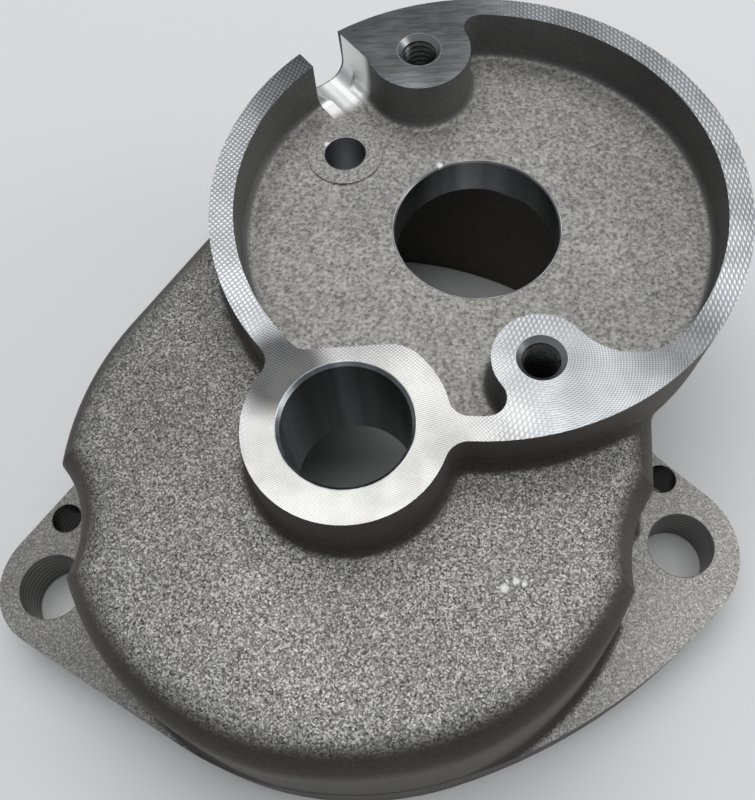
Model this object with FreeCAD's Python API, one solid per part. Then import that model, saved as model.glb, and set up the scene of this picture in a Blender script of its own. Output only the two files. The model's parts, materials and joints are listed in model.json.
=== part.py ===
"""Cast gear housing: a domed shell on a two-eared flange, with an open ring and two bearing bores.

Frame: +Z up. The origin is on the mounting face, midway between the two ear bolts, and +X runs
along the line of those bolts. Everything is in millimetres.
"""
import FreeCAD, Part
import math
import os

Vector = FreeCAD.Vector
UP = Vector(0, 0, 1)

# --- overall heights above the mounting face ---
housing_height = 55.0        # top of the machined land
flange_thickness = 12.0
roof_drop = 12.5             # cast roof below the machined land
roof_thickness = 5.0
recess_depth = 10.4          # floor of the ring recess below the land
cup_depth = 19.0             # underside of the ring cup below the land
recess_corner = 2.0          # fillet round the recess floor

# --- the two shaft axes ---
bearing_offset = 11.4        # lower bearing axis, in +Y from the bolt line
centre_distance = 52.0       # between the two shaft axes
centre_line_angle = 60.0     # of the upper axis seen from the lower one

# --- dome ---
dome_radius = 53.5           # about the lower bearing axis, at the roof
dome_front_radius = 62.9     # flatter front wall, at the roof
dome_front_flat = 0.4        # front wall, short of the round of the dome
front_blend = 30.0           # rounding between the front wall and the sides
rear_radius = 73.0           # far wall of the dome, about the lower bearing axis
left_wall_angle = 143.0      # direction that the straight left wall faces
right_wall_angle = -8.0      # direction that the straight right wall faces
rear_corner = 16.0
dome_draft = 1.0             # degrees
dome_edge_round = 7.5
wall_thickness = 4.5
cavity_edge_round = 4.0
foot_fillet = 3.0
rim_ledge = 2.7              # flange showing past the dome wall at the sides and rear

# --- flange ears ---
bolt_spacing = 125.0
bolt_hole_radius = 6.5
right_seat_radius = 26.0     # room for the bolt head, scalloped into the dome
right_seat_outboard = 10.3   # its centre, outboard of and behind its bolt
right_seat_behind = -13.7
left_seat_radius = 20.8
left_seat_outboard = 7.2
left_seat_behind = 2.2
right_ear_radius = 15.6
right_ear_inboard = 4.3      # centre of the ear's rounding, inboard of and behind its bolt
right_ear_behind = -0.7
right_ear_back_angle = 43.2  # direction that the ear's rear edge faces
left_ear_radius = 13.3
left_ear_inboard = 2.7
left_ear_behind = 0.8
left_ear_back_angle = 141.0
front_bow_radius = 120.0     # bowed edge between the front and the right ear
ear_neck_fillet = 8.0
dowel_radius = 3.0
dowel_rise = 14.2            # dowels, in +Y from the bolt line
dowel_inset = 1.5            # dowels inboard of the bolts

# --- ring cup and bearing boss ---
ring_radius = 50.0
ring_wall = 4.5
ring_taper = 4.0             # degrees, narrowing downwards
boss_radius = 17.5
boss_draft = 1.5             # degrees, widening downwards
neck_fillet = 4.0            # in plan, where the ring meets the boss
land_foot_fillet = 3.0       # where the ring and boss stand on the roof
cup_edge_round = 2.0

# --- bores ---
main_bore_radius = 16.0
main_bore_chamfer = 0.3
hub_wall = 5.0               # bearing hub under the recess floor
boss_bore_radius = 11.0
boss_bore_chamfer = 0.6
sleeve_depth = 25.0          # lower end of the boss bore below the land
sleeve_wall = 4.5

# --- screw pads, pin hole and cable slot in the ring, with directions about its axis ---
thread_radius = 3.4          # tapping size
thread_countersink = 4.4
thread_depth = 15.0
drill_point_angle = 59.0
pad_1_inset = 9.5            # screw, inboard of the ring's inner wall
pad_1_angle = -78.0
pad_1_radius = 8.6
pad_2_inset = 7.7
pad_2_angle = 103.3
pad_2_radius = 10.4
pad_corner = 3.5             # hollow corners between the pads and the ring wall
pad_1_wide_corner = 11.5     # the same, on the far side of the first pad
boss_pad_reach = 14.4        # flat side of the boss inside the recess, from the boss axis
boss_pad_round = 7.0         # rounding at the end of that flat
pin_inset = 13.5             # pin hole, inboard of the ring's inner wall
pin_angle = 141.5
pin_hole_radius = 4.2
pin_hole_depth = 12.0        # below the recess floor
pin_boss_floor = 3.0         # metal left under the blind hole
pin_pad_radius = 7.6
pin_pad_height = 0.4
slot_angle = 125.5
slot_width = 9.5
slot_bottom_radius = 4.0
slot_sink = 0.3              # slot floor below the recess floor
slot_run_in = 7.0            # where the cutter stopped, inboard of the ring's inner wall
web_corner_inset = 4.5       # inner corner of the web beside the slot

clear = 1.0                  # overrun of cutting tools past a face

# --- places worked out from the sizes above ---
roof_top = housing_height - roof_drop
roof_underside = roof_top - roof_thickness
recess_floor = housing_height - recess_depth
ring_inner = ring_radius - ring_wall
cup_underside = housing_height - cup_depth
bearing_axis = Vector(0, bearing_offset, 0)
ring_axis = bearing_axis + Vector(
    centre_distance * math.cos(math.radians(centre_line_angle)),
    centre_distance * math.sin(math.radians(centre_line_angle)), 0)
foot_growth = (roof_top - flange_thickness) * math.tan(math.radians(dome_draft))
base_growth = roof_top * math.tan(math.radians(dome_draft))
right_bolt = Vector(bolt_spacing / 2, 0, 0)
left_bolt = Vector(-bolt_spacing / 2, 0, 0)
right_ear = right_bolt + Vector(-right_ear_inboard, right_ear_behind, 0)
left_ear = left_bolt + Vector(left_ear_inboard, left_ear_behind, 0)
right_seat = right_bolt + Vector(right_seat_outboard, right_seat_behind, 0)
left_seat = left_bolt + Vector(-left_seat_outboard, left_seat_behind, 0)


def polar(centre, radius, angle, z=0.0):
    """A point at a radius and a direction, in degrees, about a centre."""
    turn = math.radians(angle)
    return Vector(centre.x + radius * math.cos(turn), centre.y + radius * math.sin(turn), z)


def in_ring(inset, angle):
    """A point inboard of the ring's inner wall, in a direction about its axis."""
    return polar(ring_axis, ring_inner - inset, angle)


def direction(start, end):
    """The direction from one point to another, in degrees."""
    return math.degrees(math.atan2(end.y - start.y, end.x - start.x))


def tangent_swing(far_side, near_side, apart):
    """The angle in a triangle that places a circle touching two others, or a line touching both."""
    return math.degrees(math.acos((near_side ** 2 + apart ** 2 - far_side ** 2)
                                  / (2 * near_side * apart)))


def arc(centre, radius, start, end, z):
    """An arc that runs anticlockwise from one direction to another."""
    circle = Part.Circle(Vector(centre.x, centre.y, z), UP, radius)
    return Part.Arc(circle, math.radians(start), math.radians(end)).toShape()


def outline(edges):
    """A closed wire from edges given in order, with straight runs between them."""
    joined = []
    for index, edge in enumerate(edges):
        follower = edges[(index + 1) % len(edges)]
        joined.append(edge)
        gap_start = edge.Vertexes[-1].Point
        gap_end = follower.Vertexes[0].Point
        if gap_start.distanceToPoint(gap_end) > 0.001:
            joined.append(Part.LineSegment(gap_start, gap_end).toShape())
    return Part.Wire(joined)


def prism(wire, height):
    """A straight solid standing on a closed flat wire."""
    return Part.Face(wire).extrude(Vector(0, 0, height))


def cylinder(centre, radius, bottom, top):
    return Part.makeCylinder(radius, top - bottom, Vector(centre.x, centre.y, bottom))


def rear_corner_arc(centre, wall_angle, side, near_radius, far_radius, corner, z):
    """The rounding between a straight wall and the far arc, and the direction of its middle.

    side is +1 where the far arc lies anticlockwise of the wall, and -1 where it lies clockwise.
    """
    swing = math.degrees(math.acos((near_radius - corner) / (far_radius - corner)))
    middle = wall_angle + side * swing
    corner_centre = polar(centre, far_radius - corner, middle)
    start, end = sorted((wall_angle, middle))
    return arc(corner_centre, corner, start, end, z), middle


def front_centre():
    """The centre of the flatter front wall."""
    reach = dome_radius - dome_front_flat
    return Vector(0, bearing_offset - reach + dome_front_radius, 0)


def dome_plan(growth, z):
    """Round about the lower bearing, flatter in front, drawn out by two walls to an arc behind."""
    near = dome_radius + growth
    front = dome_front_radius + growth
    far = rear_radius + growth
    corner = rear_corner + growth
    blend = front_blend + growth
    apart = (front_centre() - bearing_axis).Length
    swing = tangent_swing(front - blend, near - blend, apart)
    right_blend = polar(bearing_axis, near - blend, 90.0 - swing)
    left_blend = polar(bearing_axis, near - blend, 90.0 + swing)
    right_side = direction(bearing_axis, right_blend)
    right_front = direction(front_centre(), right_blend)

    right, right_end = rear_corner_arc(bearing_axis, right_wall_angle, 1, near, far, corner, z)
    left, left_end = rear_corner_arc(bearing_axis, left_wall_angle, -1, near, far, corner, z)
    return outline([
        arc(bearing_axis, near, left_wall_angle, 180.0 - right_side, z),
        arc(left_blend, blend, 180.0 - right_side, 180.0 - right_front, z),
        arc(front_centre(), front, 180.0 - right_front, 360.0 + right_front, z),
        arc(right_blend, blend, right_front, right_side, z),
        arc(bearing_axis, near, right_side, right_wall_angle, z),
        right,
        arc(bearing_axis, far, right_end, left_end, z),
        left,
    ])


def dome_solid(inset, bottom, top, edge_round):
    """The dome, drafted and rounded over at the roof, drawn in by an inset all round."""
    slope = math.tan(math.radians(dome_draft))
    low = dome_plan((roof_top - bottom) * slope - inset, bottom)
    high = dome_plan((roof_top - top) * slope - inset, top)
    block = Part.makeLoft([low, high], True, True)
    rim = [edge for edge in block.Edges if edge.BoundBox.ZMin > top - 0.001]
    return block.makeFillet(edge_round, rim)


def ear_plate():
    """The two ears and the front edge between them, carried back under the dome."""
    front = front_centre()
    front_radius = dome_front_radius + base_growth
    reach = left_ear - front
    swing = math.degrees(math.acos((front_radius - left_ear_radius) / reach.Length))
    left_edge = direction(front, left_ear) % 360.0 + swing

    swing = tangent_swing(front_bow_radius - right_ear_radius, front_bow_radius - front_radius,
                          (right_ear - front).Length)
    bow_centre = polar(front, front_bow_radius - front_radius, direction(front, right_ear) + swing)
    bow_start = direction(bow_centre, front)
    bow_end = direction(bow_centre, right_ear)

    def under_dome(ear, radius, angle, side):
        start = polar(ear, radius, angle)
        return polar(start, 3 * radius, angle + side * 90.0)

    back = Part.LineSegment(under_dome(right_ear, right_ear_radius, right_ear_back_angle, 1),
                            under_dome(left_ear, left_ear_radius, left_ear_back_angle, -1))
    return outline([
        arc(front, front_radius, left_edge, 360.0 + bow_start, 0.0),
        arc(bow_centre, front_bow_radius, bow_start, bow_end, 0.0),
        arc(right_ear, right_ear_radius, bow_end, right_ear_back_angle, 0.0),
        back.toShape(),
        arc(left_ear, left_ear_radius, left_ear_back_angle, left_edge, 0.0),
    ])


def flange_outside(height):
    """The flange in plan as an upright solid: the ears and a rim round the dome."""
    rim = prism(dome_plan(foot_growth + rim_ledge, 0.0), height)
    in_front = Part.makeBox(4 * bolt_spacing, 2 * bolt_spacing, height,
                            Vector(-2 * bolt_spacing, -2 * bolt_spacing, 0))
    plate = prism(ear_plate(), height).fuse(rim.cut(in_front)).removeSplitter()
    necks = [edge for edge in plate.Edges
             if edge.BoundBox.ZLength > height - 0.001
             and (on_rear_edge(edge, right_ear, right_ear_radius, right_ear_back_angle)
                  or on_rear_edge(edge, left_ear, left_ear_radius, left_ear_back_angle))]
    return plate.makeFillet(ear_neck_fillet, necks)


def on_rear_edge(edge, ear, radius, angle):
    """Whether an upright edge stands on an ear's straight rear edge, clear of its rounding."""
    foot = Vector(edge.BoundBox.XMin, edge.BoundBox.YMin, 0)
    start = polar(ear, radius, angle)
    off_line = (foot - start).dot(polar(Vector(0, 0, 0), 1.0, angle))
    return abs(off_line) < 0.01 and foot.distanceToPoint(start) > 1.0


def bolt_seat(centre, radius):
    """The room for a bolt head: a round scallop that flares out into the edge of the roof."""
    flare = dome_edge_round
    low = flange_thickness
    high = roof_top + clear
    turn = math.sqrt(0.5)
    foot_arc = Part.Arc(Vector(radius - foot_fillet, 0, low),
                        Vector(radius - foot_fillet * (1 - turn), 0,
                               low + foot_fillet * (1 - turn)),
                        Vector(radius, 0, low + foot_fillet)).toShape()
    flare_arc = Part.Arc(Vector(radius, 0, roof_top - flare),
                         Vector(radius + flare * (1 - turn), 0, roof_top - flare * (1 - turn)),
                         Vector(radius + flare, 0, roof_top)).toShape()
    top = Part.LineSegment(Vector(radius + flare, 0, high), Vector(0, 0, high)).toShape()
    axis = Part.LineSegment(Vector(0, 0, high), Vector(0, 0, low)).toShape()
    profile = outline([foot_arc, flare_arc, top, axis])
    seat = Part.Face(profile).revolve(Vector(0, 0, 0), UP, 360)
    seat.translate(centre)
    return seat


def base_shell():
    """The outside of the dome on its flange, with a fillet at the foot."""
    dome = dome_solid(0.0, 0.0, roof_top, dome_edge_round)
    margin = bolt_spacing
    slab = Part.makeBox(2 * margin, 2 * margin, flange_thickness, Vector(-margin, -margin, 0))
    body = slab.fuse(dome).removeSplitter()
    foot = [edge for edge in body.Edges
            if abs(edge.BoundBox.ZMin - flange_thickness) < 0.001
            and abs(edge.BoundBox.ZMax - flange_thickness) < 0.001
            and max(abs(edge.BoundBox.XMax), abs(edge.BoundBox.YMax)) < margin - 1]
    body = body.makeFillet(foot_fillet, foot)
    return body.common(flange_outside(housing_height))


def land_plan(ring_growth, boss_growth, z):
    """The ring and the boss in plan, with a fillet in each neck between them."""
    ring = ring_radius + ring_growth
    boss = boss_radius + boss_growth
    to_ring = ring + neck_fillet
    to_boss = boss + neck_fillet
    along = (to_boss ** 2 - to_ring ** 2 + centre_distance ** 2) / (2 * centre_distance)
    lean = math.degrees(math.acos(along / to_boss))
    right = polar(bearing_axis, to_boss, centre_line_angle - lean)
    left = polar(bearing_axis, to_boss, centre_line_angle + lean)

    def facing(centre, point):
        return math.degrees(math.atan2(point.y - centre.y, point.x - centre.x)) % 360.0

    def neck(centre):
        start = polar(centre, neck_fillet, facing(centre, ring_axis), z)
        end = polar(centre, neck_fillet, facing(centre, bearing_axis), z)
        towards = (ring_axis + bearing_axis) * 0.5
        middle = polar(centre, neck_fillet, neck_middle_angle(centre, towards), z)
        return start, middle, end

    def neck_middle_angle(centre, towards):
        first = facing(centre, ring_axis)
        second = facing(centre, bearing_axis)
        spread = (second - first + 540.0) % 360.0 - 180.0
        return first + spread / 2

    left_start, left_middle, left_end = neck(left)
    right_start, right_middle, right_end = neck(right)
    boss_from = facing(bearing_axis, left)
    boss_to = facing(bearing_axis, right)
    ring_from = facing(ring_axis, right)
    ring_to = facing(ring_axis, left)
    return outline([
        arc(ring_axis, ring, ring_from - 360.0, ring_to, z),
        Part.Arc(left_start, left_middle, left_end).toShape(),
        arc(bearing_axis, boss, boss_from, boss_to + (360.0 if boss_to < boss_from else 0.0), z),
        Part.Arc(right_end, right_middle, right_start).toShape(),
    ])


def land_block():
    """The ring cup and the boss as one block, down to the underside of the cup."""
    low = land_plan(-cup_depth * math.tan(math.radians(ring_taper)),
                    cup_depth * math.tan(math.radians(boss_draft)), cup_underside)
    high = land_plan(0.0, 0.0, housing_height)
    block = Part.makeLoft([low, high], True, True)
    rim = [edge for edge in block.Edges if edge.BoundBox.ZMax < cup_underside + 0.001]
    return block.makeFillet(cup_edge_round, rim)


def stands_on_roof(edge):
    """Whether an edge is where the ring or the boss meets the flat roof."""
    box = edge.BoundBox
    if abs(box.ZMin - roof_top) > 0.001 or abs(box.ZMax - roof_top) > 0.001:
        return False
    middle = edge.valueAt((edge.FirstParameter + edge.LastParameter) / 2)
    from_ring = math.hypot(middle.x - ring_axis.x, middle.y - ring_axis.y)
    from_boss = math.hypot(middle.x - bearing_axis.x, middle.y - bearing_axis.y)
    return from_ring < ring_radius + neck_fillet or from_boss < boss_radius + neck_fillet


def cavity():
    """The gear space: the dome drawn in by the wall, open at the mounting face."""
    space = dome_solid(wall_thickness, -clear, roof_underside, cavity_edge_round)
    for seat, radius in ((right_seat, right_seat_radius), (left_seat, left_seat_radius)):
        space = space.cut(cylinder(seat, radius + wall_thickness, -2 * clear, roof_top))
    return space


def pad(centre, radius):
    """A round screw pad, as high as the recess is deep."""
    return cylinder(centre, radius, recess_floor - clear, housing_height + clear)


def pad_web(centre, radius, corner, side):
    """Joins a round pad to the ring wall on one side, with a hollow corner of its own radius.

    side is +1 for the corner that lies anticlockwise of the pad about the ring axis, else -1.
    """
    apart = math.hypot(centre.x - ring_axis.x, centre.y - ring_axis.y)
    pad_angle = math.degrees(math.atan2(centre.y - ring_axis.y, centre.x - ring_axis.x))
    to_corner = ring_inner - corner
    along = (apart ** 2 + to_corner ** 2 - (radius + corner) ** 2) / (2 * apart * to_corner)
    corner_angle = pad_angle + side * math.degrees(math.acos(along))
    corner_centre = polar(ring_axis, to_corner, corner_angle)
    in_wall = ring_inner + ring_wall / 2
    points = [Vector(centre.x, centre.y, 0), corner_centre,
              polar(ring_axis, in_wall, corner_angle), polar(ring_axis, in_wall, pad_angle)]
    web = upright_prism(points, recess_floor - clear, recess_depth + 2 * clear)
    return web.cut(cylinder(corner_centre, corner, recess_floor - 2 * clear,
                            housing_height + 2 * clear))


def upright_prism(points, bottom, height):
    """A straight solid over a polygon given in plan."""
    lifted = [Vector(point.x, point.y, bottom) for point in points]
    return Part.Face(Part.makePolygon(lifted + lifted[:1])).extrude(Vector(0, 0, height))


def slot_web():
    """Carries the second screw pad across to the cable slot."""
    screw = in_ring(pad_2_inset, pad_2_angle)
    radial = polar(Vector(0, 0, 0), 1.0, slot_angle)
    side = Vector(radial.y, -radial.x, 0) * (slot_width / 2)
    corner = in_ring(web_corner_inset, slot_angle) + side
    in_wall = ring_inner + ring_wall / 2
    away = corner - screw
    lean = math.degrees(math.acos(pad_2_radius / away.Length))
    touch = polar(screw, pad_2_radius, math.degrees(math.atan2(away.y, away.x)) + lean)
    points = [screw, touch, corner, ring_axis + radial * in_wall + side,
              polar(ring_axis, in_wall, pad_2_angle)]
    return upright_prism(points, recess_floor - clear, recess_depth + 2 * clear)


def boss_pad():
    """The part of the bearing boss inside the recess, with its flat side and its web."""
    top = housing_height + clear
    whole = cylinder(bearing_axis, boss_radius, recess_floor - clear, top)
    whole = whole.fuse(pad_web(bearing_axis, boss_radius, pad_corner, 1))
    whole = whole.fuse(Part.makeBox(ring_radius, boss_radius, top - recess_floor + clear,
                                    Vector(-ring_radius, bearing_offset, recess_floor - clear)))
    flat = Part.makeBox(2 * ring_radius, ring_radius, recess_depth + 4 * clear,
                        Vector(-ring_radius, bearing_offset + boss_pad_reach,
                               recess_floor - 2 * clear))
    return whole.cut(flat)


def upright_at(solid, point):
    """The vertical edges of a solid that stand over a point in plan."""
    return [edge for edge in solid.Edges
            if math.hypot(edge.BoundBox.XMin - point.x, edge.BoundBox.YMin - point.y) < 0.01
            and edge.BoundBox.XLength < 0.01 and edge.BoundBox.YLength < 0.01]


def recess():
    """The open space in the ring, round its screw pads, with cast corners and floor fillet."""
    space = cylinder(ring_axis, ring_inner, recess_floor, housing_height + clear)
    screw_1 = in_ring(pad_1_inset, pad_1_angle)
    screw_2 = in_ring(pad_2_inset, pad_2_angle)
    for solid in (boss_pad(), pad(screw_1, pad_1_radius), pad(screw_2, pad_2_radius),
                  pad_web(screw_1, pad_1_radius, pad_corner, -1),
                  pad_web(screw_1, pad_1_radius, pad_1_wide_corner, 1),
                  pad_web(screw_2, pad_2_radius, pad_corner, -1), slot_web()):
        space = space.cut(solid)
    space = space.removeSplitter()
    flat_y = bearing_offset + boss_pad_reach
    half_flat = math.sqrt(boss_radius ** 2 - boss_pad_reach ** 2)
    half_chord = math.sqrt(ring_inner ** 2 - (ring_axis.y - flat_y) ** 2)
    space = space.makeFillet(boss_pad_round, upright_at(space, Vector(half_flat, flat_y, 0)))
    space = space.makeFillet(pad_corner,
                             upright_at(space, Vector(ring_axis.x - half_chord, flat_y, 0)))
    floor_edges = [edge for edge in space.Edges if edge.BoundBox.ZMax < recess_floor + 0.001]
    return space.makeFillet(recess_corner, floor_edges)


def cable_slot():
    """The round-bottomed cut through the ring wall."""
    reach = ring_inner - slot_run_in
    length = ring_radius + clear - reach
    height = recess_depth + slot_sink + clear
    block = Part.makeBox(length, slot_width, height, Vector(reach, -slot_width / 2, 0))
    lower = [edge for edge in block.Edges
             if edge.BoundBox.ZMax < 0.001 and edge.BoundBox.XLength > length - 0.001]
    block = block.makeFillet(slot_bottom_radius, lower)
    block.rotate(Vector(0, 0, 0), UP, slot_angle)
    block.translate(Vector(ring_axis.x, ring_axis.y, recess_floor - slot_sink))
    return block


def bore(centre, radius, bottom, top, chamfer):
    """A through bore with a chamfer at its upper mouth."""
    hole = cylinder(centre, radius, bottom - clear, top + clear)
    mouth = Part.makeCone(radius, radius + chamfer + clear, chamfer + clear,
                          Vector(centre.x, centre.y, top - chamfer))
    return hole.fuse(mouth)


def tapped_hole(centre):
    """A blind tapping-size hole with a drill point and a countersunk mouth."""
    top = housing_height
    point_depth = thread_radius / math.tan(math.radians(drill_point_angle))
    hole = cylinder(centre, thread_radius, top - thread_depth, top + clear)
    tip = Part.makeCone(0, thread_radius, point_depth,
                        Vector(centre.x, centre.y, top - thread_depth - point_depth))
    sink = thread_countersink - thread_radius
    mouth = Part.makeCone(thread_radius, thread_countersink + clear, sink + clear,
                          Vector(centre.x, centre.y, top - sink))
    return hole.fuse(tip).fuse(mouth)


def housing():
    """The whole casting, machined."""
    body = base_shell().fuse(land_block())
    body = body.makeFillet(land_foot_fillet, [edge for edge in body.Edges if stands_on_roof(edge)])
    body = body.cut(bolt_seat(right_seat, right_seat_radius))
    body = body.cut(bolt_seat(left_seat, left_seat_radius))
    body = body.cut(cavity())

    hub = cylinder(ring_axis, main_bore_radius + hub_wall, cup_underside, recess_floor)
    sleeve_foot = housing_height - sleeve_depth
    sleeve = cylinder(bearing_axis, boss_bore_radius + sleeve_wall, sleeve_foot, roof_top)
    pin_centre = in_ring(pin_inset, pin_angle)
    pin_foot = recess_floor - pin_hole_depth
    pin_boss = cylinder(pin_centre, pin_pad_radius, pin_foot - pin_boss_floor, recess_floor)
    body = body.fuse(hub).fuse(sleeve).fuse(pin_boss)

    body = body.cut(recess())
    body = body.fuse(cylinder(pin_centre, pin_pad_radius, recess_floor - clear,
                              recess_floor + pin_pad_height))
    body = body.cut(cable_slot())
    body = body.cut(bore(ring_axis, main_bore_radius, cup_underside, recess_floor,
                         main_bore_chamfer))
    body = body.cut(bore(bearing_axis, boss_bore_radius, sleeve_foot, housing_height,
                         boss_bore_chamfer))
    body = body.cut(cylinder(pin_centre, pin_hole_radius, pin_foot,
                             recess_floor + pin_pad_height + clear))
    for inset, angle in ((pad_1_inset, pad_1_angle), (pad_2_inset, pad_2_angle)):
        body = body.cut(tapped_hole(in_ring(inset, angle)))
    for bolt, dowel_side in ((right_bolt, -1), (left_bolt, 1)):
        dowel = bolt + Vector(dowel_side * dowel_inset, dowel_rise, 0)
        body = body.cut(cylinder(bolt, bolt_hole_radius, -clear, flange_thickness + clear))
        body = body.cut(cylinder(dowel, dowel_radius, -clear, flange_thickness + clear))
    return body.removeSplitter()


def main():
    os.makedirs("parts", exist_ok=True)
    solid = housing().Solids[0]
    solid.exportStep("parts/housing.step")
    box = solid.BoundBox
    print("housing valid", solid.isValid(), "volume", round(solid.Volume), "mm3, faces",
          len(solid.Faces))
    print("box", [round(size, 2) for size in (box.XMin, box.XMax, box.YMin, box.YMax,
                                               box.ZMin, box.ZMax)])


main()
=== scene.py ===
"""Finishes the cast gear housing on a pale floor.

The casting gets its blasted grain, milled lands, bored seats and drilled holes as one material,
and its two tapped holes get their threads. Places and sizes come from the frame.
"""
import json
import math

import bmesh
import bpy
from mathutils import Matrix, Vector


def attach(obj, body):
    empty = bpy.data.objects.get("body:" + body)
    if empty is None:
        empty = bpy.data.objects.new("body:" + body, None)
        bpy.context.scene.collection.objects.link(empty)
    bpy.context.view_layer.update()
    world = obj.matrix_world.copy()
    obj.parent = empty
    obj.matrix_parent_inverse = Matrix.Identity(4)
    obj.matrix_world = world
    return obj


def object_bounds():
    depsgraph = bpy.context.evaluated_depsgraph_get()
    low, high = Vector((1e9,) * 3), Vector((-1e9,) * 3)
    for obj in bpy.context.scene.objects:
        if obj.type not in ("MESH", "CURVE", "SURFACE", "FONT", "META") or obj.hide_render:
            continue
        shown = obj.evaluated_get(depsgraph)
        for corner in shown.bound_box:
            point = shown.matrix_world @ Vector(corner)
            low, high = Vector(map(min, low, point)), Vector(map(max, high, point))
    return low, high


bl_info = {
    "name": "Cast Housing Finish",
    "version": (1, 0, 0),
    "blender": (4, 5, 0),
    "location": "3D View > Sidebar > Housing",
    "description": "Gives a cast gear housing its grain, milled lands, bores and threads",
    "category": "Object",
}

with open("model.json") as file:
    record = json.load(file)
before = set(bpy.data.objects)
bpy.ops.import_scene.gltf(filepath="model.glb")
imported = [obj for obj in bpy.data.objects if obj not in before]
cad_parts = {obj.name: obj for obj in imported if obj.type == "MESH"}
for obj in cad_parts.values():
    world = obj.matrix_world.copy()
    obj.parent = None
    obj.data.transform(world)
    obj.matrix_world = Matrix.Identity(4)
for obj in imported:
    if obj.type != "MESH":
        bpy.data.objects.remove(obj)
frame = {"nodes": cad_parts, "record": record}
cad_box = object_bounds()
record = frame["record"]

MM = 0.001


# --- places read from the frame or measured in it, in millimetres ---

def mount(name):
    """The place of a named mount, in millimetres."""
    found = next(item for item in record["mounts"] if item["name"] == name)
    return Vector(found["pos_m"]) / MM


def mount_size(name, size):
    """One of a named mount's sizes."""
    return next(item for item in record["mounts"] if item["name"] == name)["dims"][size]


def opening_middle(name):
    """The middle of a named opening, in millimetres."""
    found = next(item for item in record["physics"]["openings"] if item["name"] == name)
    low, high = (Vector(corner) / MM for corner in found["box_m"])
    return (low + high) / 2


LAND_HEIGHT = mount("cover_face").z
SLOT_FLOOR = opening_middle("cable_slot").z - 7.5
RECESS_FLOOR = mount("upper_bearing_bore").z + mount_size("upper_bearing_bore", "length_mm") / 2
RING_AXIS = mount("upper_bearing_bore")
BOSS_AXIS = mount("lower_bearing_bore")
PIN = "locating_pin_hole"
SCREWS = ("cover_screw_1", "cover_screw_2")
DOWELS = ("dowel_left", "dowel_right")
SLOT_WAY = (opening_middle("cable_slot") - RING_AXIS).to_2d().normalized()

# how far past its own radius a machined wall is finished
PLAIN_MARGIN = 0.08
UPPER_BORE_CHAMFER = 0.45
LOWER_BORE_CHAMFER = 0.75
SCREW_CHAMFER = 1.1

# reaches from the ring's axis, and heights that a finish starts or ends at
RECESS_REACH = 45.6
RING_REACH = 49.0
RECESS_LOWEST = 40.0
UPPER_BORE_SPAN = (30.0, 44.75)
FLANGE_SPAN = (-1.0, 12.3)
PIN_PAD_RADIUS = 8.4
SCREW_HOLE_REACH = 5.0

# each thread's steps in a turn, and how far its root sits in the wall
THREAD_STEPS = 36
THREAD_SUNK = 0.05

# the slot's bright floor fades in as it leaves the recess, and stays between its walls
SLOT_RUN_IN = (38.6, 41.5)
SLOT_HALF_WIDTH = (4.9, 4.8)

# upward share of a face's direction, from a side to a roof and from a round to a flat
SIDE_TO_ROOF = (0.74, 0.99)
ROUND_TO_FLAT = (0.96, 0.99)

# middles of the arcs that the cutter left, and how much closer together the finer ones lie
RING_ARCS = ((-85, 118, 0), (-85, 2, 0))
NECK_ARCS = ((-60, -50, 0), (75, -60, 0))
BOSS_ARCS = (40, -110, 0)
FINE_SHARE = 0.6
FINEST_SHARE = 0.45
CROSSING_SOFTNESS = 0.45

# where each kind of cutter mark lies: place, radius and softness
NECK_PLACE = (BOSS_AXIS + Vector((5, 8, 0)), 23.0, 4.0)
BOSS_PLACE = (BOSS_AXIS + Vector((1, -9, 0)), 20.0, 5.0)
PAD_PLACE = (Vector((46, 13, 0)), 15.0, 6.0)
SATIN_PLACE = (Vector((17, 98, 0)), 20.0, 4.0)

# where the land is warmer, and where the roof is painted fully lit, with painted shade beyond it
# towards the rim: place, radius and softness
WARM_PLACE = (BOSS_AXIS + Vector((3, -6, 0)), 24.0, 12.0)
PAINTED_LIT_ROOF_PLACE = (Vector((8, -16, 0)), 42.0, 24.0)

# painted light and shade: shares of its tone that the casting keeps where light falls off, and more
# than its tone where the right ear is painted lighter
ROOF_RIM_PAINTED_SHADE = 0.76
EAR_PAINTED_LIGHT_AND_SHADE = (0.82, 1.35)
EAR_SPAN = (-50.0, 60.0)
RIGHT_WALL_PAINTED_SHADE = 0.58
FRONT_EDGE_PAINTED_SHADE = 0.66

# how strongly the cast grain shows in the colour, and how much of it the sides keep
RECESS_CONTRAST = 0.56
FLANGE_CONTRAST = 0.5
SIDE_SPECKLE = 0.22
RECESS_GRAIN = 1.5

# gloss and relief of each finish
SIDE_ROUGHNESS = 0.62
ROOF_ROUGHNESS = 0.5
MILLED_ROUGHNESS = 0.3
SLOT_ROUGHNESS = 0.45
BORED_ROUGHNESS = 0.33
CAST_METALLIC = 0.4
BUMP_DEPTH = 0.2
CUTTER_MARK_SHARE = 0.08
SIDE_GRAIN_SHARE = 0.25
RECESS_GRAIN_SHARE = 0.75

# patches of painted reflection on the milled land, darker or lighter: place, radius, softness and
# tone
LAND_PAINTED_REFLECTION_PATCHES = (
    (6, 100, 27, 10, 0.34), (-10.5, 22.0, 8.0, 3.0, 0.2), (-16, 9, 5, 5, 0.84),
    (17, 10, 5, 5, 0.86), (14.5, 84.5, 3.0, 3.5, 2.2), (58, 22, 9, 7, 0.42),
    (36, 25, 9, 6, 0.72), (44, 12, 9, 7, 0.82), (4, 26, 6, 5, 0.8),
)

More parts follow.
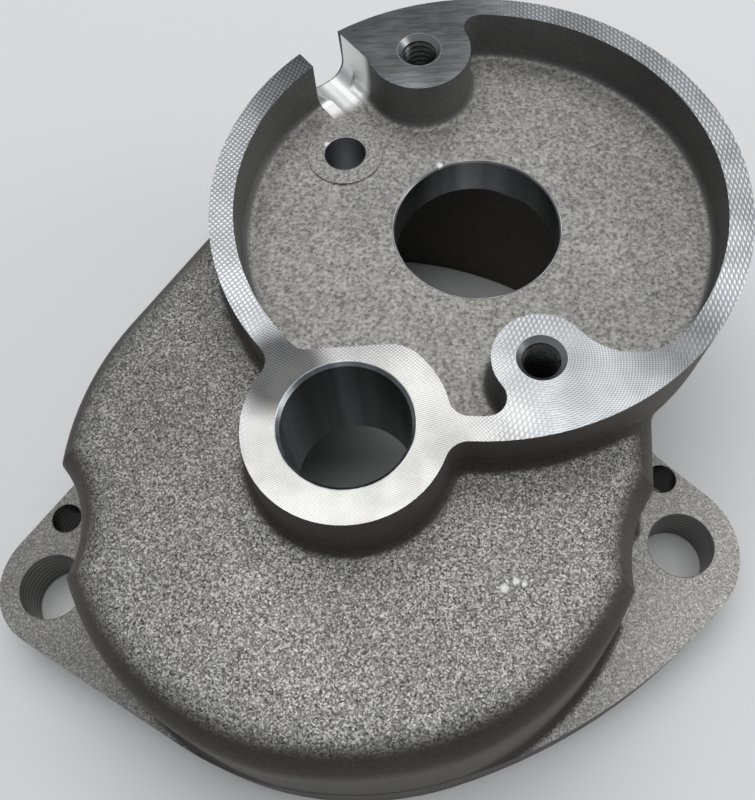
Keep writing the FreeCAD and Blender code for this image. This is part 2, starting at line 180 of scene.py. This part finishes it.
# small flaws of the casting: place, radius and brightness
FLAWS = (
    (50.4, 7.2, 38.0, 1.3, 0.02), (24.2, -14.4, 42.5, 0.9, 0.9), (26.2, -13.4, 42.5, 0.7, 0.9),
    (27.6, -13.9, 42.5, 0.5, 0.9), (19.9, 72.0, 44.5, 0.8, 0.95), (-2.7, 79.1, 45.0, 0.7, 0.9),
    (9.3, -3.7, 42.5, 0.5, 0.03), (-12.4, 1.6, 42.5, 0.6, 0.04),
)

# the lamps: name, way from the casting, distance and size in metres, and power in watts
LAMPS = (
    ("overhead", (0.0, 0.24, 1.0), 1.2, 1.2, 9.3),
    ("side_fill", (1.0, -0.1, 0.55), 1.2, 0.5, 1.8),
)

# the floor's half width and its gap below the casting, in metres, and the sky
FLOOR_REACH = 2.0
FLOOR_DROP = 0.0002
SKY_COLOUR = (0.92, 0.96, 1.0, 1)
SKY_STRENGTH = 0.3


# --- what a user can change ---

class HousingSizes(bpy.types.PropertyGroup):
    grain_size: bpy.props.FloatProperty(
        name="Grain size", description="Size of the cast grain on the roof, in millimetres",
        default=0.45, min=0.1, max=5.0)
    milling_pitch: bpy.props.FloatProperty(
        name="Milling pitch",
        description="Distance between cutter marks on the ring, in millimetres",
        default=0.8, min=0.1, max=5.0)
    thread_pitch: bpy.props.FloatProperty(
        name="Thread pitch", description="Pitch of the screw threads, in millimetres",
        default=1.25, min=0.5, max=3.0)
    thread_ridge: bpy.props.FloatProperty(
        name="Thread ridge", description="Height of a thread ridge inside its hole, in millimetres",
        default=0.45, min=0.1, max=1.0)
    thread_turns: bpy.props.IntProperty(
        name="Thread turns", description="Number of turns of thread in each screw hole",
        default=10, min=2, max=20)


class HousingColours(bpy.types.PropertyGroup):
    cast: bpy.props.FloatVectorProperty(
        name="Cast", description="Colour of the blasted casting where it faces up",
        subtype="COLOR", size=3, min=0, max=1, default=(0.272, 0.266, 0.252))
    # painted shade: the casting's upright walls, outside and inside the ring, are coloured darker
    # than its roof
    side: bpy.props.FloatVectorProperty(
        name="Cast sides", description="Colour of the smoother, darker sides of the casting",
        subtype="COLOR", size=3, min=0, max=1, default=(0.078, 0.072, 0.064))
    recess_side: bpy.props.FloatVectorProperty(
        name="Recess sides", description="Colour of the cast walls inside the ring",
        subtype="COLOR", size=3, min=0, max=1, default=(0.17, 0.168, 0.163))
    milled: bpy.props.FloatVectorProperty(
        name="Milled", description="Colour of the milled land on the ring",
        subtype="COLOR", size=3, min=0, max=1, default=(0.47, 0.485, 0.50))
    milled_bright: bpy.props.FloatVectorProperty(
        name="Milled boss", description="Colour of the milled land on the boss",
        subtype="COLOR", size=3, min=0, max=1, default=(0.47, 0.465, 0.45))
    bored: bpy.props.FloatVectorProperty(
        name="Bored", description="Colour of the bored and drilled walls",
        subtype="COLOR", size=3, min=0, max=1, default=(0.34, 0.35, 0.36))
    drilled: bpy.props.FloatVectorProperty(
        name="Drilled", description="Colour of the drilled walls in the flange",
        subtype="COLOR", size=3, min=0, max=1, default=(0.14, 0.138, 0.133))
    slot: bpy.props.FloatVectorProperty(
        name="Slot", description="Colour of the freshly milled slot through the ring",
        subtype="COLOR", size=3, min=0, max=1, default=(0.86, 0.86, 0.85))
    thread: bpy.props.FloatVectorProperty(
        name="Thread", description="Colour of the tapped threads",
        subtype="COLOR", size=3, min=0, max=1, default=(0.12, 0.12, 0.118))
    floor: bpy.props.FloatVectorProperty(
        name="Floor", description="Colour of the studio floor",
        subtype="COLOR", size=3, min=0, max=1, default=(0.86, 0.86, 0.86))


class StudioView(bpy.types.PropertyGroup):
    camera_place: bpy.props.FloatVectorProperty(
        name="Camera place", description="Where the camera stands, in millimetres",
        size=3, default=(11.05, -56.04, 199.99))
    camera_aim: bpy.props.FloatVectorProperty(
        name="Camera aim", description="The point that the camera looks at, in millimetres",
        size=3, default=(11.05, 33.33, 20.0))
    camera_roll: bpy.props.FloatProperty(
        name="Camera roll", description="Turn of the camera about its line of sight, in degrees",
        default=-3.8)
    lens: bpy.props.FloatProperty(
        name="Lens", description="Focal length for a 36 mm wide sensor, in millimetres",
        default=46.45, min=10, max=300)
    shift_x: bpy.props.FloatProperty(
        name="Shift across", description="Sideways shift of the view, in widths", default=-0.0443)
    shift_y: bpy.props.FloatProperty(
        name="Shift up", description="Upward shift of the view, in widths", default=-0.0076)


# --- shader building blocks ---

class Shader:
    """Adds nodes and links to a node tree in short lines."""

    def __init__(self, tree):
        self.tree = tree

    def node(self, kind, values=(), **settings):
        """A node of a kind, with its settings and with the values or links of its inputs."""
        made = self.tree.nodes.new(kind)
        for name, value in settings.items():
            setattr(made, name, value)
        for key, value in dict(values).items():
            self.feed(made.inputs[key], value)
        return made

    def feed(self, socket, value):
        """Links a socket to an output, or sets its own value."""
        if isinstance(value, bpy.types.NodeSocket):
            self.tree.links.new(value, socket)
        else:
            socket.default_value = value

    def math(self, operation, first, second=0.0):
        """A sum, product or other operation on numbers."""
        return self.node("ShaderNodeMath", {0: first, 1: second}, operation=operation).outputs[0]

    def vector(self, operation, first, second=None, scale=None, output=0):
        """An operation on vectors or colours, whose output 1 is a number."""
        made = self.node("ShaderNodeVectorMath", {0: first}, operation=operation)
        if second is not None:
            self.feed(made.inputs[1], second)
        if scale is not None:
            self.feed(made.inputs["Scale"], scale)
        return made.outputs[output]

    def ramp(self, value, start, end, low=0.0, high=1.0, smooth=True):
        """Maps a value from one range to another and holds it at the ends."""
        made = self.node("ShaderNodeMapRange", {
            "Value": value, "From Min": start, "From Max": end, "To Min": low, "To Max": high})
        made.interpolation_type = "SMOOTHSTEP" if smooth else "LINEAR"
        return made.outputs["Result"]

    def mix(self, share, first, second):
        """Mixes two colours, which the Mix node keeps at inputs 6 and 7 and at output 2."""
        made = self.node("ShaderNodeMix", data_type="RGBA")
        self.feed(made.inputs[0], share)
        self.feed(made.inputs[6], first)
        self.feed(made.inputs[7], second)
        return made.outputs[2]

    def blend(self, share, first, second):
        """Mixes two numbers, which the Mix node keeps at inputs 2 and 3 and at output 0."""
        made = self.node("ShaderNodeMix", data_type="FLOAT")
        self.feed(made.inputs[0], share)
        self.feed(made.inputs[2], first)
        self.feed(made.inputs[3], second)
        return made.outputs[0]

    def both(self, first, second):
        """A mask of where two masks meet."""
        return self.math("MULTIPLY", first, second)

    def either(self, *masks):
        """A mask of where any of several masks is."""
        total = masks[0]
        for mask in masks[1:]:
            total = self.math("MAXIMUM", total, mask)
        return total

    def noise(self, point, scale, detail=2.0, roughness=0.5):
        """A soft noise value."""
        made = self.node("ShaderNodeTexNoise", {
            "Vector": point, "Scale": scale, "Detail": detail, "Roughness": roughness})
        return made.outputs["Fac"]


def new_group(name, inputs, outputs):
    """A shader node group with named sockets, and its building helper, inputs and outputs."""
    tree = bpy.data.node_groups.new(name, "ShaderNodeTree")
    for socket, kind, default in inputs:
        made = tree.interface.new_socket(socket, in_out="INPUT", socket_type=kind)
        made.default_value = default
    for socket, kind in outputs:
        tree.interface.new_socket(socket, in_out="OUTPUT", socket_type=kind)
    shader = Shader(tree)
    given = shader.node("NodeGroupInput").outputs
    out = shader.node("NodeGroupOutput").inputs
    return tree, shader, given, out


def round_region_group():
    """A mask that is 1 inside an upright cylinder."""
    tree, s, given, out = new_group("Round Region", [
        ("Point", "NodeSocketVector", (0, 0, 0)), ("Centre", "NodeSocketVector", (0, 0, 0)),
        ("Radius", "NodeSocketFloat", 1.0), ("Softness", "NodeSocketFloat", 0.1),
    ], [("Mask", "NodeSocketFloat")])
    away = s.vector("SUBTRACT", given["Point"], given["Centre"])
    flat = s.vector("MULTIPLY", away, (1, 1, 0))
    distance = s.vector("LENGTH", flat, output=1)
    outer = s.math("ADD", given["Radius"], given["Softness"])
    inner = s.math("SUBTRACT", given["Radius"], given["Softness"])
    s.feed(out["Mask"], s.ramp(distance, outer, inner))
    return tree


def height_band_group():
    """A mask that is 1 between two heights."""
    tree, s, given, out = new_group("Height Band", [
        ("Height", "NodeSocketFloat", 0.0), ("Low", "NodeSocketFloat", 0.0),
        ("High", "NodeSocketFloat", 1.0), ("Softness", "NodeSocketFloat", 0.05),
    ], [("Mask", "NodeSocketFloat")])
    above = s.ramp(given["Height"], s.math("SUBTRACT", given["Low"], given["Softness"]),
                   s.math("ADD", given["Low"], given["Softness"]))
    below = s.ramp(given["Height"], s.math("ADD", given["High"], given["Softness"]),
                   s.math("SUBTRACT", given["High"], given["Softness"]))
    s.feed(out["Mask"], s.math("MULTIPLY", above, below))
    return tree


def cast_grain_group():
    """Blasted cast grain: a height for bump, a tone for each small facet and a slow drift."""
    tree, s, given, out = new_group("Cast Grain", [
        ("Point", "NodeSocketVector", (0, 0, 0)), ("Grain Size", "NodeSocketFloat", 0.75),
    ], [("Height", "NodeSocketFloat"), ("Facets", "NodeSocketFloat"), ("Drift", "NodeSocketFloat")])
    fine = s.vector("SCALE", given["Point"], scale=s.math("DIVIDE", 1.0, given["Grain Size"]))
    bend = s.node("ShaderNodeTexNoise", {"Vector": fine, "Scale": 0.8, "Detail": 1.0})
    bent = s.vector("ADD", fine, s.vector("SCALE", bend.outputs["Color"], scale=0.8))
    s.feed(out["Height"], s.noise(bent, 1.0, detail=2.5, roughness=0.6))
    cells = s.node("ShaderNodeTexVoronoi", {"Vector": bent, "Scale": 1.7}, feature="F1")
    chance = s.node("ShaderNodeSeparateColor", {0: cells.outputs["Color"]}).outputs[0]
    s.feed(out["Facets"], s.math("POWER", chance, 2.2))
    s.feed(out["Drift"], s.noise(given["Point"], 0.045, detail=3.0))
    return tree


def milling_marks_group():
    """The relief of arcs left by a face mill that swept round a distant centre."""
    tree, s, given, out = new_group("Milling Marks", [
        ("Point", "NodeSocketVector", (0, 0, 0)), ("Centre", "NodeSocketVector", (0, 0, 0)),
        ("Pitch", "NodeSocketFloat", 0.8), ("Wander", "NodeSocketFloat", 0.15),
    ], [("Height", "NodeSocketFloat")])
    away = s.vector("MULTIPLY", s.vector("SUBTRACT", given["Point"], given["Centre"]), (1, 1, 0))
    distance = s.vector("LENGTH", away, output=1)
    drift = s.math("MULTIPLY", s.noise(given["Point"], 0.25, detail=2.0), given["Wander"])
    turns = s.math("DIVIDE", s.math("ADD", distance, drift), given["Pitch"])
    wave = s.math("SINE", s.math("MULTIPLY", turns, 2 * math.pi))
    s.feed(out["Height"], s.ramp(wave, -1.0, 1.0))
    return tree


def wall_streaks_group():
    """Soft upright bands round the wall of a bore, as its own reflections leave them."""
    tree, s, given, out = new_group("Wall Streaks", [
        ("Point", "NodeSocketVector", (0, 0, 0)), ("Centre", "NodeSocketVector", (0, 0, 0)),
    ], [("Tone", "NodeSocketFloat")])
    away = s.vector("SUBTRACT", given["Point"], given["Centre"])
    round_wall = s.vector("NORMALIZE", s.vector("MULTIPLY", away, (1, 1, 0)))
    bands = s.noise(round_wall, 1.8, detail=2.0, roughness=0.6)
    s.feed(out["Tone"], s.ramp(bands, 0.32, 0.68, 0.55, 1.45))
    return tree


# --- finishes ---

class HousingFinish:
    """One material for the whole casting, told apart by place and by which way a face looks."""

    def __init__(self, sizes, colours):
        self.sizes, self.colours = sizes, colours
        self.round_region = round_region_group()
        self.height_band = height_band_group()
        self.cast_grain = cast_grain_group()
        self.milling_marks = milling_marks_group()
        self.wall_streaks = wall_streaks_group()

        self.material = bpy.data.materials.new("cast_and_machined_aluminium")
        self.material.use_nodes = True
        self.material.node_tree.nodes.clear()
        s = self.shader = Shader(self.material.node_tree)

        place = s.node("ShaderNodeTexCoord").outputs
        self.point = s.vector("SCALE", place["Object"], scale=1 / MM)
        self.position = s.node("ShaderNodeSeparateXYZ", {0: self.point}).outputs
        self.facing = s.node("ShaderNodeSeparateXYZ", {0: place["Normal"]}).outputs
        self.height, self.upward = self.position["Z"], self.facing["Z"]

        self.in_recess = s.both(self.region(RING_AXIS, RECESS_REACH),
                                self.band(RECESS_LOWEST, LAND_HEIGHT - 0.1))
        self.on_flange = self.band(*FLANGE_SPAN)
        self.near_boss = self.region(*BOSS_PLACE)
        near_pin = s.both(self.region(mount(PIN), PIN_PAD_RADIUS),
                          self.band(RECESS_FLOOR - 1.0, LAND_HEIGHT))
        self.faces_up = s.either(s.ramp(self.upward, *SIDE_TO_ROOF), near_pin)
        self.milled = s.both(self.band(LAND_HEIGHT - 0.05, LAND_HEIGHT + 1.0, 0.03),
                             s.ramp(self.upward, *ROUND_TO_FLAT))
        self.bored = self.find_bored_walls()
        self.slot = self.find_slot()

        self.blasted = self.use(self.cast_grain, Grain_Size=sizes.grain_size)
        soft = self.use(self.cast_grain, Grain_Size=sizes.grain_size * RECESS_GRAIN)["Height"]
        soft_facets = s.ramp(soft, 0.3, 0.9, smooth=False)
        self.facets = s.blend(self.in_recess, self.blasted["Facets"], soft_facets)
        self.grain_height = s.blend(self.in_recess, self.blasted["Height"], soft)
        self.marks = self.find_cutter_marks()

    def use(self, group, **values):
        """Places a node group at the point that is shaded, with its own values."""
        made = self.shader.node("ShaderNodeGroup", node_tree=group)
        self.shader.feed(made.inputs["Point"], self.point)
        for key, value in values.items():
            self.shader.feed(made.inputs[key.replace("_", " ")], value)
        return made.outputs

    def region(self, centre, radius, softness=0.08):
        """A mask of an upright cylinder."""
        return self.use(self.round_region, Centre=centre, Radius=radius, Softness=softness)["Mask"]

    def band(self, low, high, softness=0.05):
        """A mask of what lies between two heights."""
        values = {"Height": self.height, "Low": low, "High": high, "Softness": softness}
        made = self.shader.node("ShaderNodeGroup", node_tree=self.height_band)
        for key, value in values.items():
            self.shader.feed(made.inputs[key], value)
        return made.outputs["Mask"]

    def arcs(self, centre, pitch):
        """The relief of cutter marks round a far centre."""
        return self.use(self.milling_marks, Centre=centre, Pitch=pitch)["Height"]

    def find_bored_walls(self):
        """A mask of every bored and drilled wall."""
        s = self.shader
        walls = [
            s.both(self.region(RING_AXIS,
                               mount_size("upper_bearing_bore", "r_mm") + UPPER_BORE_CHAMFER),
                   self.band(*UPPER_BORE_SPAN)),
            self.region(BOSS_AXIS, mount_size("lower_bearing_bore", "r_mm") + LOWER_BORE_CHAMFER),
        ]
        for name in SCREWS:
            walls.append(self.region(mount(name), mount_size(name, "r_mm") + SCREW_CHAMFER))
        for name in (PIN, *DOWELS):
            walls.append(self.region(mount(name), mount_size(name, "r_mm") + PLAIN_MARGIN))
        spacing = mount_size("flange_bolts", "spacing_x_mm")
        for side in (-1, 1):
            walls.append(self.region(Vector((side * spacing / 2, 0, 0)),
                                     mount_size("flange_bolts", "hole_r_mm") + PLAIN_MARGIN))
        return s.either(*walls)

    def find_slot(self):
        """A mask of the slot's floor and walls through the ring."""
        s = self.shader
        from_ring = s.vector("SUBTRACT", self.point, RING_AXIS)
        along = s.vector("DOT_PRODUCT", from_ring, (*SLOT_WAY, 0), output=1)
        across = s.vector("DOT_PRODUCT", from_ring, (-SLOT_WAY.y, SLOT_WAY.x, 0), output=1)
        between = s.both(s.ramp(along, *SLOT_RUN_IN),
                         s.ramp(s.math("ABSOLUTE", across), *SLOT_HALF_WIDTH))
        within = s.both(self.band(SLOT_FLOOR, LAND_HEIGHT - 0.05),
                        self.region(RING_AXIS, RING_REACH))
        return s.both(between, within)

    def find_cutter_marks(self):
        """The relief of the cutter's marks on the land, which differ from place to place."""
        s, pitch = self.shader, self.sizes.milling_pitch

        def crossed(centres, spacing):
            product = s.both(*(self.arcs(centre, spacing) for centre in centres))
            return s.math("POWER", product, CROSSING_SOFTNESS)

        boss_marks = self.arcs(BOSS_ARCS, pitch * FINEST_SHARE)
        pad_marks = s.blend(0.5, self.arcs(mount(SCREWS[0]), pitch * FINE_SHARE), boss_marks)
        stretched = s.vector("MULTIPLY", self.point, (0.5, 3.0, 1.0))
        satin = s.ramp(s.noise(stretched, 0.5, detail=4.0), 0.3, 0.7, 0.3, 0.9)
        marks = s.blend(self.region(*NECK_PLACE), crossed(RING_ARCS, pitch),
                        crossed(NECK_ARCS, pitch * FINE_SHARE))
        marks = s.blend(self.near_boss, marks, boss_marks)
        marks = s.blend(self.region(*PAD_PLACE), marks, pad_marks)
        return s.blend(self.region(*SATIN_PLACE), marks, satin)

    def cast_skin(self):
        """The colour of the blasted casting, with painted shade towards the roof's rim, on its
        upright walls, on the recess's right wall and on the front edge, and painted light and shade
        across the ears.
        """
        s, colours = self.shader, self.colours
        contrast = s.blend(self.in_recess, s.blend(self.on_flange, 1.0, FLANGE_CONTRAST),
                           RECESS_CONTRAST)
        sparkle = s.ramp(self.facets, 0.0, 1.0, -0.5, 1.6, smooth=False)
        hollows = s.ramp(self.grain_height, 0.32, 0.68, -0.5, 0.5, smooth=False)
        speckle = s.math("MULTIPLY", s.math("ADD", sparkle, hollows), contrast)
        tone = s.math("ADD", speckle, 1.0)

        # painted shade: the roof darkens outside its lit middle, towards the rim
        well_lit = s.either(self.region(*PAINTED_LIT_ROOF_PLACE), self.in_recess)
        roof_shade = s.blend(well_lit, ROOF_RIM_PAINTED_SHADE, 1.0)
        # painted light and shade across the flange: the left ear darker, the right ear lighter
        ear_shade = s.ramp(self.position["X"], *EAR_SPAN, *EAR_PAINTED_LIGHT_AND_SHADE)
        shade = s.blend(self.on_flange, roof_shade, ear_shade)
        roof = s.vector("SCALE", (*colours.cast,), scale=s.math("MULTIPLY", tone, shade))

        # painted shade: faces that look sideways take the darker side colours, faces that look up
        # take the roof's
        sides = s.mix(self.in_recess, (*colours.side, 1), (*colours.recess_side, 1))
        sides = s.vector("SCALE", sides, scale=s.blend(SIDE_SPECKLE, 1.0, tone))
        # painted shade on the recess's wall that faces left
        painted_shade_right_wall = s.both(self.in_recess, s.ramp(self.facing["X"], -0.3, -0.9))
        sides = s.vector("SCALE", sides, scale=s.blend(painted_shade_right_wall, 1.0, RIGHT_WALL_PAINTED_SHADE))

        skin = s.mix(self.faces_up, sides, roof)
        # painted shade on the rounded edge that faces the front
        painted_shade_front_edge = s.both(s.ramp(self.upward, 0.1, 0.45), s.ramp(self.facing["Y"], -0.22, -0.6))
        skin = s.vector("SCALE", skin, scale=s.blend(painted_shade_front_edge, 1.0, FRONT_EDGE_PAINTED_SHADE))
        drift = s.ramp(self.blasted["Drift"], 0.3, 0.7, 0.9, 1.1, smooth=False)
        return s.vector("SCALE", skin, scale=drift)

    def milled_land(self):
        """The colour of the milled land, with its cutter marks, blotches and patches of painted
        reflection.
        """
        s, colours = self.shader, self.colours
        tone = s.blend(self.near_boss, s.ramp(self.marks, 0.0, 1.0, 0.54, 1.16, smooth=False),
                       s.ramp(self.marks, 0.0, 1.0, 0.8, 1.04, smooth=False))
        blotches = s.ramp(s.noise(self.point, 0.11, detail=3.0), 0.35, 0.65, 0.86, 1.1)
        tone = s.math("MULTIPLY", tone, blotches)
        # painted reflection: patches of the land made darker or lighter
        for x, y, radius, softness, painted_reflection_tone in LAND_PAINTED_REFLECTION_PATCHES:
            patch = self.region(Vector((x, y, 0)), radius, softness)
            tone = s.math("MULTIPLY", tone, s.blend(patch, 1.0, painted_reflection_tone))
        land = s.mix(self.region(*WARM_PLACE), (*colours.milled, 1), (*colours.milled_bright, 1))
        return s.vector("SCALE", land, scale=tone)

    def bored_walls(self):
        """The colour of the bores above the flange, and of the ringed drill holes in it."""
        s, colours = self.shader, self.colours
        boss_streaks, ring_streaks = (self.use(self.wall_streaks, Centre=axis)["Tone"]
                                      for axis in (BOSS_AXIS, RING_AXIS))
        streaks = s.blend(self.region(RING_AXIS, 20.0), boss_streaks, ring_streaks)
        in_screws = s.either(*(self.region(mount(name), SCREW_HOLE_REACH) for name in SCREWS))
        # painted shade: the screw holes darken towards their depth
        painted_hole_shade = s.ramp(self.height, LAND_HEIGHT - 4.0, LAND_HEIGHT - 0.6, 0.06, 1.2)
        tone = s.math("MULTIPLY", streaks, s.blend(in_screws, 1.0, painted_hole_shade))
        bored = s.vector("SCALE", (*colours.bored,), scale=tone)
        wave = s.math("SINE", s.math("MULTIPLY", self.height, 4.2))
        drilled = s.vector("SCALE", (*colours.drilled,), scale=s.ramp(wave, -1.0, 1.0, 0.6, 1.5))
        return s.mix(s.ramp(self.height, 11.9, 12.2), drilled, bored)

    def with_flaws(self, colour):
        """A colour with the casting's small bright and dark spots on it."""
        s = self.shader
        for x, y, z, radius, brightness in FLAWS:
            away = s.vector("DISTANCE", self.point, (x, y, z), output=1)
            ragged = s.math("ADD", away, s.math("MULTIPLY", self.blasted["Height"], radius * 1.6))
            spot = s.ramp(ragged, radius * 1.9, radius * 1.3)
            colour = s.mix(s.math("MULTIPLY", spot, 0.8), colour,
                           (brightness, brightness, brightness * 0.98, 1))
        return colour

    def relief(self, machined):
        """The height for the bump: grain on cast faces and cutter marks on the land."""
        s = self.shader
        roof_share = s.blend(self.in_recess, 1.0, RECESS_GRAIN_SHARE)
        share = s.math("MULTIPLY", s.ramp(self.faces_up, 0.0, 1.0, SIDE_GRAIN_SHARE, roof_share),
                       s.math("SUBTRACT", 1.0, machined))
        grain = s.math("MULTIPLY", self.grain_height, share)
        marks = s.math("MULTIPLY", s.math("MULTIPLY", self.marks, self.milled), CUTTER_MARK_SHARE)
        return s.math("ADD", grain, marks)

    def build(self):
        """Joins the finishes in one shader and gives the material."""
        s = self.shader
        colour = s.mix(self.milled, self.cast_skin(), self.milled_land())
        colour = s.mix(self.slot, colour, (*self.colours.slot, 1))
        colour = s.mix(self.bored, colour, self.bored_walls())
        colour = self.with_flaws(colour)

        machined = s.either(self.milled, self.slot, self.bored)
        rough_cast = s.blend(self.faces_up, SIDE_ROUGHNESS, ROOF_ROUGHNESS)
        roughness = s.blend(self.milled, rough_cast, MILLED_ROUGHNESS)
        roughness = s.blend(self.slot, roughness, SLOT_ROUGHNESS)
        roughness = s.blend(self.bored, roughness, BORED_ROUGHNESS)
        bump = s.node("ShaderNodeBump", {
            "Strength": 1.0, "Distance": BUMP_DEPTH * MM, "Height": self.relief(machined)})

        surface = s.node("ShaderNodeBsdfPrincipled", {
            "Base Color": colour, "Roughness": roughness,
            "Metallic": s.blend(machined, CAST_METALLIC, 1.0), "Normal": bump.outputs["Normal"]})
        s.node("ShaderNodeOutputMaterial", {"Surface": surface.outputs["BSDF"]})
        return self.material


def build_thread_finish(colours):
    """Dull tapped metal for the screw threads."""
    material = bpy.data.materials.new("tapped_thread")
    material.use_nodes = True
    s = Shader(material.node_tree)
    surface = material.node_tree.nodes["Principled BSDF"]
    place = s.node("ShaderNodeTexCoord").outputs["Object"]
    mottle = s.noise(s.vector("SCALE", place, scale=1 / MM), 1.2, detail=3.0)
    shade = s.ramp(mottle, 0.3, 0.7, 0.6, 1.2, smooth=False)
    s.feed(surface.inputs["Base Color"], s.vector("SCALE", (*colours.thread,), scale=shade))
    surface.inputs["Metallic"].default_value = 0.85
    surface.inputs["Roughness"].default_value = 0.32
    return material


# --- operators ---

class FinishHousing(bpy.types.Operator):
    """Gives the casting its grain, milled lands and bored walls"""
    bl_idname = "housing.finish"
    bl_label = "Finish Housing"

    def execute(self, context):
        finish = HousingFinish(context.scene.housing_sizes, context.scene.housing_colours)
        material = finish.build()
        for slot in frame["nodes"]["housing"].material_slots:
            slot.material = material
        return {"FINISHED"}


class CutThreads(bpy.types.Operator):
    """Adds the screw threads inside the two tapped holes"""
    bl_idname = "housing.threads"
    bl_label = "Cut Threads"

    def execute(self, context):
        sizes = context.scene.housing_sizes
        material = build_thread_finish(context.scene.housing_colours)
        for name in SCREWS:
            thread = self.make_thread(name.replace("cover_screw", "thread"), mount(name),
                                      mount_size(name, "r_mm"), sizes)
            thread.data.materials.append(material)
            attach(thread, "root")
        return {"FINISHED"}

    def make_thread(self, name, centre, hole_radius, sizes):
        """A flat-topped ridge wound down the wall of a hole."""
        pitch = sizes.thread_pitch
        top = LAND_HEIGHT - SCREW_CHAMFER
        root = hole_radius + THREAD_SUNK
        crest = hole_radius - sizes.thread_ridge
        profile = [(root, top), (crest, top - pitch * 0.42), (crest, top - pitch * 0.52),
                   (root, top - pitch * 0.94)]
        mesh = bmesh.new()
        corners = [mesh.verts.new(Vector((centre.x + reach, centre.y, height)) * MM)
                   for reach, height in profile]
        ridge = mesh.faces.new(corners)
        bmesh.ops.spin(mesh, geom=[ridge, *ridge.edges, *ridge.verts],
                       cent=Vector((centre.x, centre.y, 0)) * MM, axis=(0, 0, 1),
                       dvec=(0, 0, -pitch * MM / THREAD_STEPS),
                       angle=2 * math.pi * sizes.thread_turns,
                       steps=THREAD_STEPS * sizes.thread_turns, use_duplicate=False)
        bmesh.ops.remove_doubles(mesh, verts=mesh.verts, dist=1e-7)
        bmesh.ops.recalc_face_normals(mesh, faces=mesh.faces)
        data = bpy.data.meshes.new(name)
        mesh.to_mesh(data)
        mesh.free()
        made = bpy.data.objects.new(name, data)
        bpy.context.scene.collection.objects.link(made)
        return made


class BuildStudio(bpy.types.Operator):
    """Adds the floor, the lights and the camera"""
    bl_idname = "housing.studio"
    bl_label = "Build Studio"

    def execute(self, context):
        self.make_floor(context.scene.housing_colours.floor)
        self.make_lights()
        self.make_world(context.scene)
        self.make_camera(context.scene)
        context.scene.view_settings.view_transform = "Standard"
        return {"FINISHED"}

    def make_floor(self, colour):
        """A plain pale floor just under the casting."""
        mesh = bmesh.new()
        bmesh.ops.create_grid(mesh, x_segments=1, y_segments=1, size=FLOOR_REACH)
        bmesh.ops.translate(mesh, verts=mesh.verts, vec=(0, 0, cad_box[0].z - FLOOR_DROP))
        data = bpy.data.meshes.new("floor")
        mesh.to_mesh(data)
        mesh.free()
        floor = bpy.data.objects.new("floor", data)
        bpy.context.scene.collection.objects.link(floor)
        material = bpy.data.materials.new("studio_floor")
        material.use_nodes = True
        surface = material.node_tree.nodes["Principled BSDF"]
        surface.inputs["Base Color"].default_value = (*colour, 1)
        surface.inputs["Roughness"].default_value = 0.9
        data.materials.append(material)

    def make_lights(self):
        """Square lamps that look at the middle of the casting."""
        middle = (cad_box[0] + cad_box[1]) / 2
        for name, way, away, size, power in LAMPS:
            data = bpy.data.lights.new(name, "AREA")
            data.shape = "SQUARE"
            data.size = size
            data.energy = power
            lamp = bpy.data.objects.new(name, data)
            direction = Vector(way).normalized()
            lamp.location = middle + direction * away
            lamp.rotation_mode = "QUATERNION"
            lamp.rotation_quaternion = (-direction).to_track_quat("-Z", "Y")
            bpy.context.scene.collection.objects.link(lamp)

    def make_world(self, scene):
        """A faint even sky."""
        world = bpy.data.worlds.new("studio")
        world.use_nodes = True
        background = world.node_tree.nodes["Background"]
        background.inputs["Color"].default_value = SKY_COLOUR
        background.inputs["Strength"].default_value = SKY_STRENGTH
        scene.world = world

    def make_camera(self, scene):
        """The camera above the front of the casting, turned a little about its line of sight."""
        view = scene.studio_view
        data = bpy.data.cameras.new("camera")
        data.sensor_fit = "HORIZONTAL"
        data.sensor_width = 36.0
        data.lens = view.lens
        data.shift_x = view.shift_x
        data.shift_y = view.shift_y
        data.clip_start = 0.01
        data.clip_end = 10.0
        camera = bpy.data.objects.new("camera", data)
        place, aim = Vector(view.camera_place) * MM, Vector(view.camera_aim) * MM
        straight = (aim - place).to_track_quat("-Z", "Y").to_matrix().to_4x4()
        turned = straight @ Matrix.Rotation(math.radians(view.camera_roll), 4, "Z")
        camera.matrix_world = Matrix.Translation(place) @ turned
        scene.collection.objects.link(camera)
        scene.camera = camera


class HousingPanel(bpy.types.Panel):
    """Lists the steps that finish the housing"""
    bl_idname = "VIEW3D_PT_housing"
    bl_label = "Cast Housing"
    bl_space_type = "VIEW_3D"
    bl_region_type = "UI"
    bl_category = "Housing"

    def draw(self, context):
        layout = self.layout
        scene = context.scene
        for group in (scene.housing_sizes, scene.housing_colours, scene.studio_view):
            for name in group.__annotations__:
                layout.prop(group, name)
        for step in STEPS:
            layout.operator(step.bl_idname)


STEPS = (FinishHousing, CutThreads, BuildStudio)
CLASSES = (HousingSizes, HousingColours, StudioView, *STEPS, HousingPanel)


def register():
    for each in CLASSES:
        bpy.utils.register_class(each)
    bpy.types.Scene.housing_sizes = bpy.props.PointerProperty(type=HousingSizes)
    bpy.types.Scene.housing_colours = bpy.props.PointerProperty(type=HousingColours)
    bpy.types.Scene.studio_view = bpy.props.PointerProperty(type=StudioView)


def unregister():
    del bpy.types.Scene.studio_view
    del bpy.types.Scene.housing_colours
    del bpy.types.Scene.housing_sizes
    for each in reversed(CLASSES):
        bpy.utils.unregister_class(each)


def main():
    register()
    bpy.ops.housing.finish()
    bpy.ops.housing.threads()
    bpy.ops.housing.studio()


if __name__ == "__main__":
    main()
